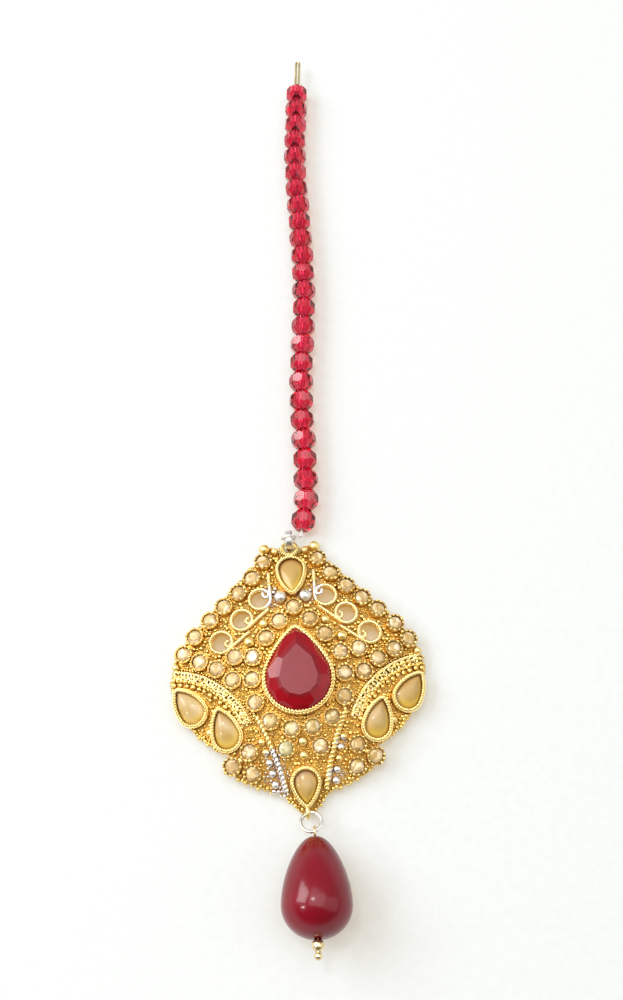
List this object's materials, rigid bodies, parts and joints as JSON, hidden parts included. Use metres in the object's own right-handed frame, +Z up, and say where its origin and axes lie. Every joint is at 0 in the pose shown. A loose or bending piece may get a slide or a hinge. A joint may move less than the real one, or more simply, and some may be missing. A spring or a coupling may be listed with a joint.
{
  "type": "maang tikka",
  "caption": "Hair ornament laid flat: a string of faceted red beads with a hair loop, a domed pierced gilt pendant set with stones, and a teardrop on a ring.",
  "frame": {"origin": "centre of the whole ornament in plan, on the surface that it lies on", "axes": "+Z up from the surface, face side up; +Y along the ornament towards the bead string's hair loop; +X to the right with the bead string at the top"},
  "size_m": [0.0384, 0.1586, 0.0102],
  "materials": {
    "gilt_metal": "polished and granulated yellow gilt",
    "silver_wire": "polished silver-coloured wire",
    "pale_gilt_wire": "pale gilt wire",
    "ruby_glass": "opaque faceted red glass",
    "drop_glass": "deep red, smooth and glossy",
    "bead_glass": "translucent faceted red glass",
    "milky_glass": "translucent champagne cabochons",
    "champagne_glass": "faceted pale champagne stones",
    "clear_thread": "clear nylon thread"
  },
  "bodies": {
    "root": {"pendant_mount": "gilt_metal", "ruby_stone": "ruby_glass", "cabochon_top": "milky_glass", "cabochon_bottom": "milky_glass", "cabochon_left_outer": "milky_glass", "cabochon_left_inner": "milky_glass", "cabochon_right_outer": "milky_glass", "cabochon_right_inner": "milky_glass", "edge_stones": "champagne_glass", "field_stones": "champagne_glass", "bead_01": "bead_glass", "bead_02": "bead_glass", "bead_03": "bead_glass", "bead_04": "bead_glass", "bead_05": "bead_glass", "bead_06": "bead_glass", "bead_07": "bead_glass", "bead_08": "bead_glass", "bead_09": "bead_glass", "bead_10": "bead_glass", "bead_11": "bead_glass", "bead_12": "bead_glass", "bead_13": "bead_glass", "bead_14": "bead_glass", "bead_15": "bead_glass", "bead_16": "bead_glass", "bead_17": "bead_glass", "bead_18": "bead_glass", "bead_19": "bead_glass", "bead_20": "bead_glass", "bead_21": "bead_glass", "bead_22": "bead_glass", "bead_23": "bead_glass", "bead_24": "bead_glass", "bead_25": "bead_glass", "bead_thread": "clear_thread", "hair_loop": "pale_gilt_wire", "top_ring": "silver_wire", "drop_ring": "silver_wire", "drop_bead": "drop_glass", "drop_pin": "pale_gilt_wire", "drop_end_bead": "gilt_metal"}
  },
  "joints": []
}
